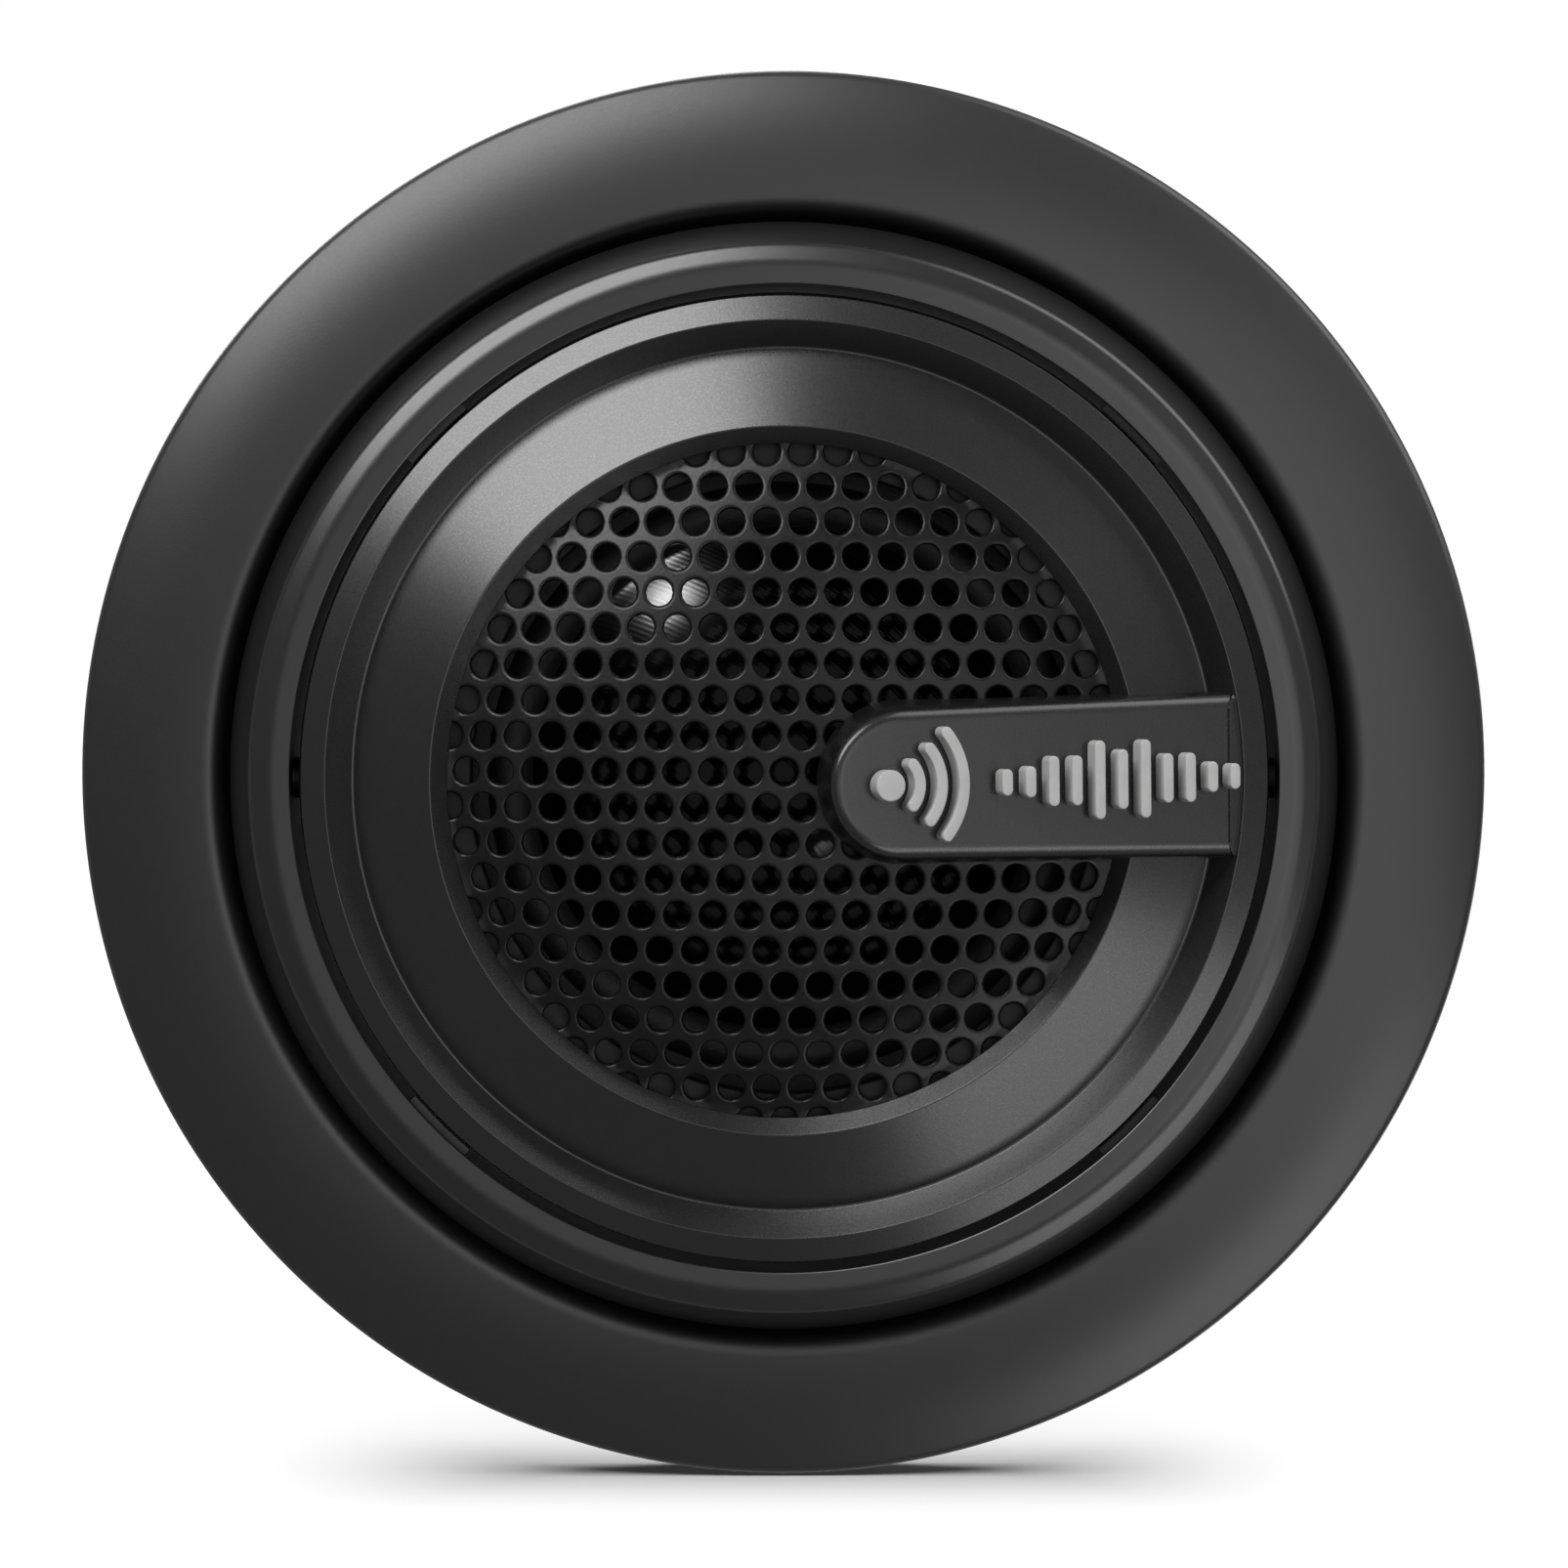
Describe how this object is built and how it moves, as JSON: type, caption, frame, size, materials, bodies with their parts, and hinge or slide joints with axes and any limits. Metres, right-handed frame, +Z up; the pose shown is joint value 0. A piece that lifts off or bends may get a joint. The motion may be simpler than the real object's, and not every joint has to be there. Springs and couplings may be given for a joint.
{
  "type": "car tweeter",
  "caption": "Flush-mount swivel car tweeter: wide flange, turning collar, tilting capsule with domed grille and sloping badge bar, clamped by a ring nut behind the panel.",
  "frame": {"origin": "on the tweeter's axis, in the plane of the panel's front face, where the flange's gasket rests", "axes": "-Y out of the panel towards the listener, +Y into the panel along the neck, +Z up, +X towards the badge bar's outer end"},
  "size_m": [0.054, 0.0286, 0.054],
  "materials": {
    "flange_plastic": "soft matt black moulding, fine texture",
    "collar_plastic": "soft matt black moulding, fine texture",
    "face_plastic": "satin black",
    "shell_plastic": "fine spark texture, black",
    "nut_plastic": "satin black",
    "gasket_foam": "closed-cell foam, black",
    "washer_steel": "zinc plated",
    "spring_steel": "blued spring steel",
    "pin_steel": "ground",
    "pad_plastic": "polished acetal, black",
    "grille_metal": "satin black powder coat",
    "bar_plastic": "satin black",
    "mark_paint": "light grey satin",
    "dome_fabric": "coated silk, glossy black",
    "surround_rubber": "coated cloth, satin black",
    "former_film": "amber polyimide film",
    "coil_copper": "enamelled copper wire",
    "tinsel_copper": "braided tinsel",
    "frame_plastic": "glass-filled, black",
    "motor_steel": "zinc plated low-carbon steel",
    "magnet_nickel": "nickel plated",
    "felt": "grey felt",
    "wire_sleeve": "PVC insulation, red",
    "board_laminate": "green laminate",
    "terminal_brass": "tinned brass",
    "cover_plastic": "fine spark texture, black",
    "screw_steel": "black oxide",
    "gland_rubber": "moulded rubber, black"
  },
  "bodies": {
    "flange": {"mounting_flange": "flange_plastic", "panel_gasket": "gasket_foam"},
    "washer": {"clamp_washer": "washer_steel"},
    "nut": {"ring_nut": "nut_plastic"},
    "collar": {"swivel_collar": "collar_plastic", "collar_snap_ring": "spring_steel", "trunnion_pins": "pin_steel", "friction_pads": "pad_plastic"},
    "capsule": {"capsule_shell": "shell_plastic", "face_ring": "face_plastic", "grille_mesh": "grille_metal", "grille_retainer": "frame_plastic", "badge_bar": "bar_plastic", "badge_emblem": "mark_paint", "dome_surround": "surround_rubber", "coil_leads": "tinsel_copper", "motor_frame": "frame_plastic", "yoke_cup": "motor_steel", "magnet_disc": "magnet_nickel", "pole_plate": "motor_steel", "damping_felt": "felt", "inner_leads": "wire_sleeve", "terminal_board": "board_laminate", "terminal_tabs": "terminal_brass", "rear_cover": "cover_plastic", "cover_screws": "screw_steel", "cable_gland": "gland_rubber"},
    "diaphragm": {"dome_diaphragm": "dome_fabric", "voice_coil_former": "former_film", "voice_coil_winding": "coil_copper"}
  },
  "joints": [
    {"name": "washer_slide", "type": "slide", "parent": "flange", "child": "washer", "axis": [0, 1, 0], "range_m": [-0.00095, 0.0115]},
    {"name": "nut_turn", "type": "hinge", "parent": "washer", "child": "nut", "pos_m": [0, 0, 0], "axis": [0, 1, 0], "range_deg": [-228, 2760]},
    {"name": "collar_turn", "type": "hinge", "parent": "flange", "child": "collar", "pos_m": [0, 0, 0], "axis": [0, 1, 0], "range_deg": [-180, 180]},
    {"name": "capsule_tilt", "type": "hinge", "parent": "collar", "child": "capsule", "pos_m": [0, -0.001, 0], "axis": [1, 0, 0], "range_deg": [-12, 12]},
    {"name": "dome_stroke", "type": "slide", "parent": "capsule", "child": "diaphragm", "axis": [0, -1, 0], "range_m": [-0.0004, 0.0004], "stiffness_N_per_m": 300, "deforming": ["dome_surround", "coil_leads"]}
  ],
  "couplings": [
    {"joint": "washer_slide", "follows": "nut_turn", "m_per_rad": 0.00023873}
  ]
}
